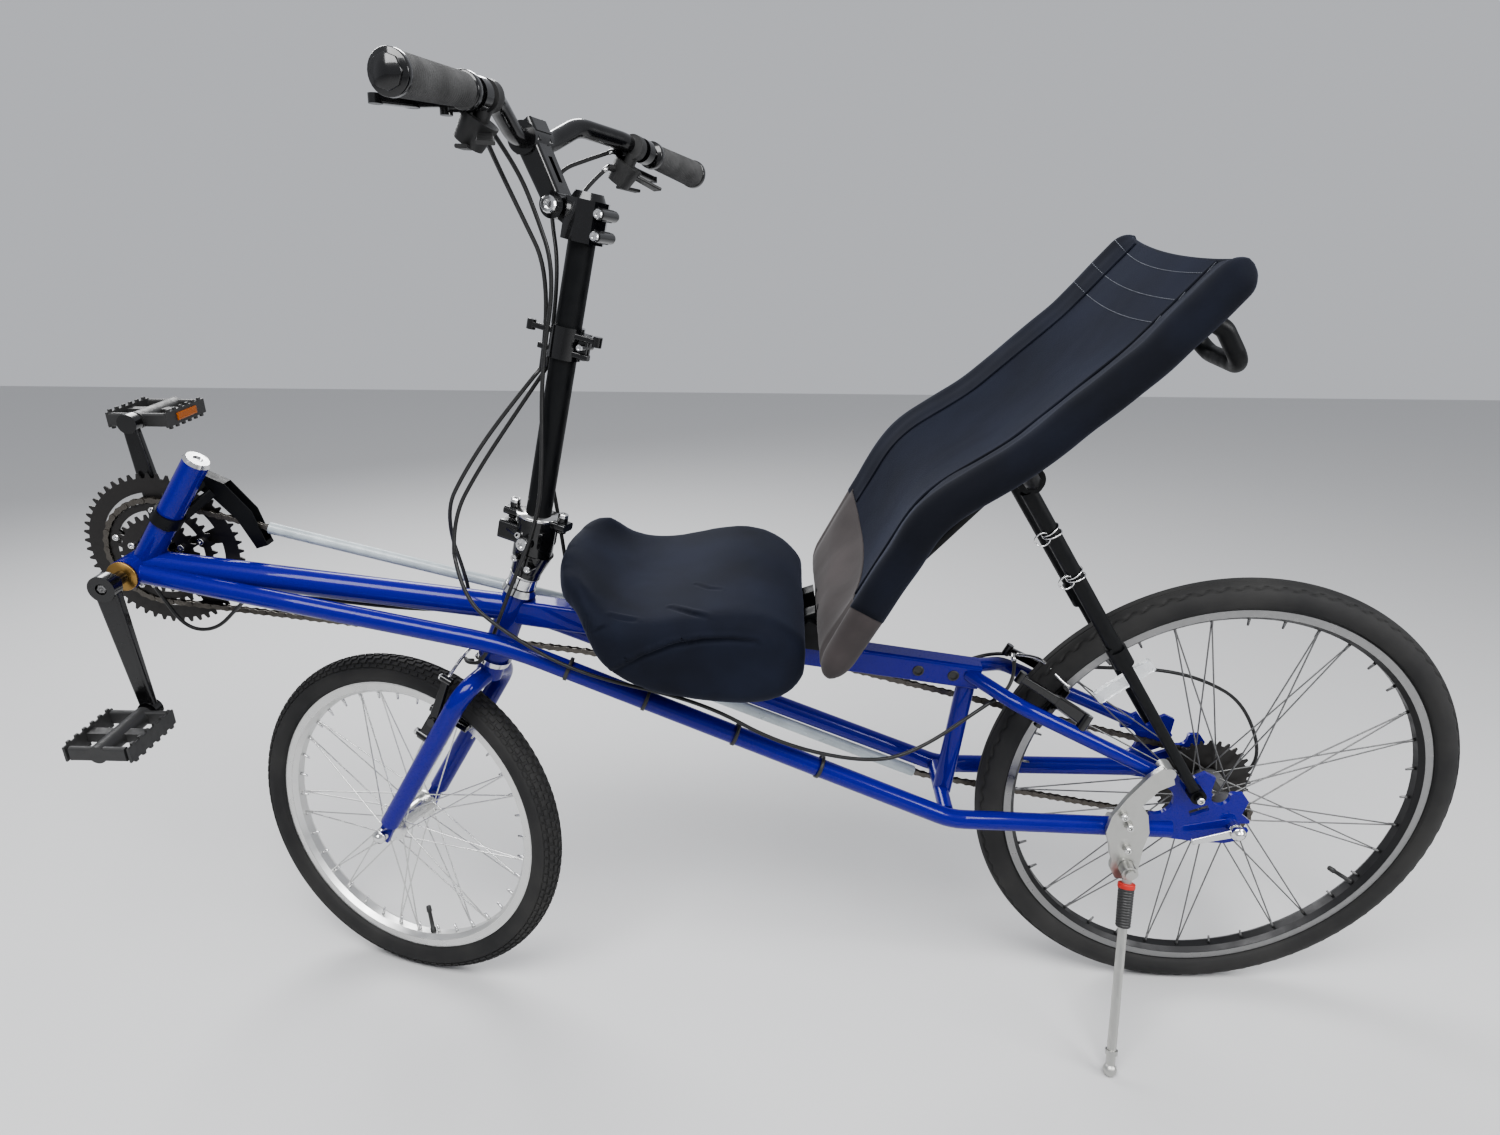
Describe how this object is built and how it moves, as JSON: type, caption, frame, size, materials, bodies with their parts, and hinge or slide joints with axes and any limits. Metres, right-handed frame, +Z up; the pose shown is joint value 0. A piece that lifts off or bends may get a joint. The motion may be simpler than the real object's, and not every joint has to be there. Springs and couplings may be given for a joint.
{
  "type": "recumbent bicycle",
  "caption": "Long recumbent bicycle with a small front wheel, tall upright steering riser, foam seat base and reclined sling back, leaning on its side stand.",
  "frame": {"origin": "on the ground, under the middle of the parked bicycle's box", "axes": "+X forward, +Y to the rider's left, where the stand is, +Z up"},
  "size_m": [1.8622, 0.6494, 1.1895],
  "materials": {
    "alloy": "satin",
    "black_metal": "satin",
    "black_plastic": "matte",
    "bright_steel": "gloss",
    "cable_housing": "satin",
    "chain_steel": "satin",
    "clear_plastic": "gloss",
    "dark_steel": "satin",
    "frame_paint": "gloss",
    "grip_rubber": "matte",
    "pale_plastic": "satin",
    "panel_fabric": "matte",
    "seat_fabric": "matte",
    "silver_metal": "satin",
    "tyre_rubber": "matte"
  },
  "bodies": {
    "frame": {"bottom_bracket": "dark_steel", "main_tube": "frame_paint", "head_tube": "frame_paint", "headset_cups": "bright_steel", "seat_beam": "frame_paint", "side_tube_left": "frame_paint", "side_tube_right": "frame_paint", "rear_strut": "frame_paint", "seat_stays": "frame_paint", "dropout_left": "frame_paint", "dropout_right": "frame_paint", "derailleur_post": "frame_paint", "post_cap": "silver_metal", "seat_back_frame": "black_metal", "seat_back_sleeves": "seat_fabric", "seat_back_sling": "seat_fabric", "seat_lower_panel": "panel_fabric", "seat_pan": "black_metal", "seat_cushion": "seat_fabric", "seat_struts": "black_metal", "seat_brace": "black_metal", "stand_bracket": "alloy", "chain": "chain_steel", "chain_tubes": "pale_plastic", "rear_derailleur": "black_metal", "front_derailleur": "black_metal", "rear_brake": "black_metal", "rear_skewer": "bright_steel", "frame_cables": "cable_housing", "cable_loops": "cable_housing"},
    "stand": {"stand_leg": "alloy"},
    "cranks": {"chainrings": "dark_steel", "crank_right": "black_metal", "crank_left": "black_metal"},
    "pedal_left": {"left_pedal": "black_plastic"},
    "pedal_right": {"right_pedal": "black_plastic"},
    "rear_wheel": {"rear_tyre": "tyre_rubber", "rear_rim": "black_metal", "cassette": "dark_steel", "rear_hub": "black_metal", "wheel_reflector": "clear_plastic"},
    "front_wheel": {"front_tyre": "tyre_rubber", "front_rim": "silver_metal", "front_hub": "silver_metal"},
    "steering": {"fork": "frame_paint", "headset_nut": "bright_steel", "riser_clamp": "black_metal", "riser": "black_metal", "riser_collar": "black_metal", "stem": "black_metal", "handlebar": "black_metal", "grips": "grip_rubber", "brake_levers": "black_metal", "shifters": "black_plastic", "front_brake": "black_metal", "front_skewer": "bright_steel", "handlebar_cables": "cable_housing"}
  },
  "joints": [
    {"name": "steer", "type": "hinge", "parent": "frame", "child": "steering", "pos_m": [0.37027, -0.02276, 0.51648], "axis": [-0.3907, 0.085, 0.9166], "range_deg": [-17, 53], "deforming": ["cable_loops"]},
    {"name": "front_wheel_spin", "type": "hinge", "parent": "steering", "child": "front_wheel", "pos_m": [0.52785, -0.06045, 0.24738], "axis": [0.2845, 0.9581, 0.0324], "continuous": true},
    {"name": "rear_wheel_spin", "type": "hinge", "parent": "frame", "child": "rear_wheel", "pos_m": [-0.60813, -0.04083, 0.32171], "axis": [0, 0.9957, -0.0924], "continuous": true},
    {"name": "crank_spin", "type": "hinge", "parent": "frame", "child": "cranks", "pos_m": [0.82337, -0.01142, 0.63876], "axis": [0, 0.9957, -0.0924], "continuous": true},
    {"name": "left_pedal_spin", "type": "hinge", "parent": "cranks", "child": "pedal_left", "pos_m": [0.80206, 0.05764, 0.46297], "axis": [0, 0.9957, -0.0924], "continuous": true},
    {"name": "right_pedal_spin", "type": "hinge", "parent": "cranks", "child": "pedal_right", "pos_m": [0.84468, -0.08048, 0.81455], "axis": [0, 0.9957, -0.0924], "continuous": true},
    {"name": "stand_fold", "type": "hinge", "parent": "frame", "child": "stand", "pos_m": [-0.47213, 0.05067, 0.25789], "axis": [0, 0.9957, -0.0924], "range_deg": [0, 95]}
  ]
}
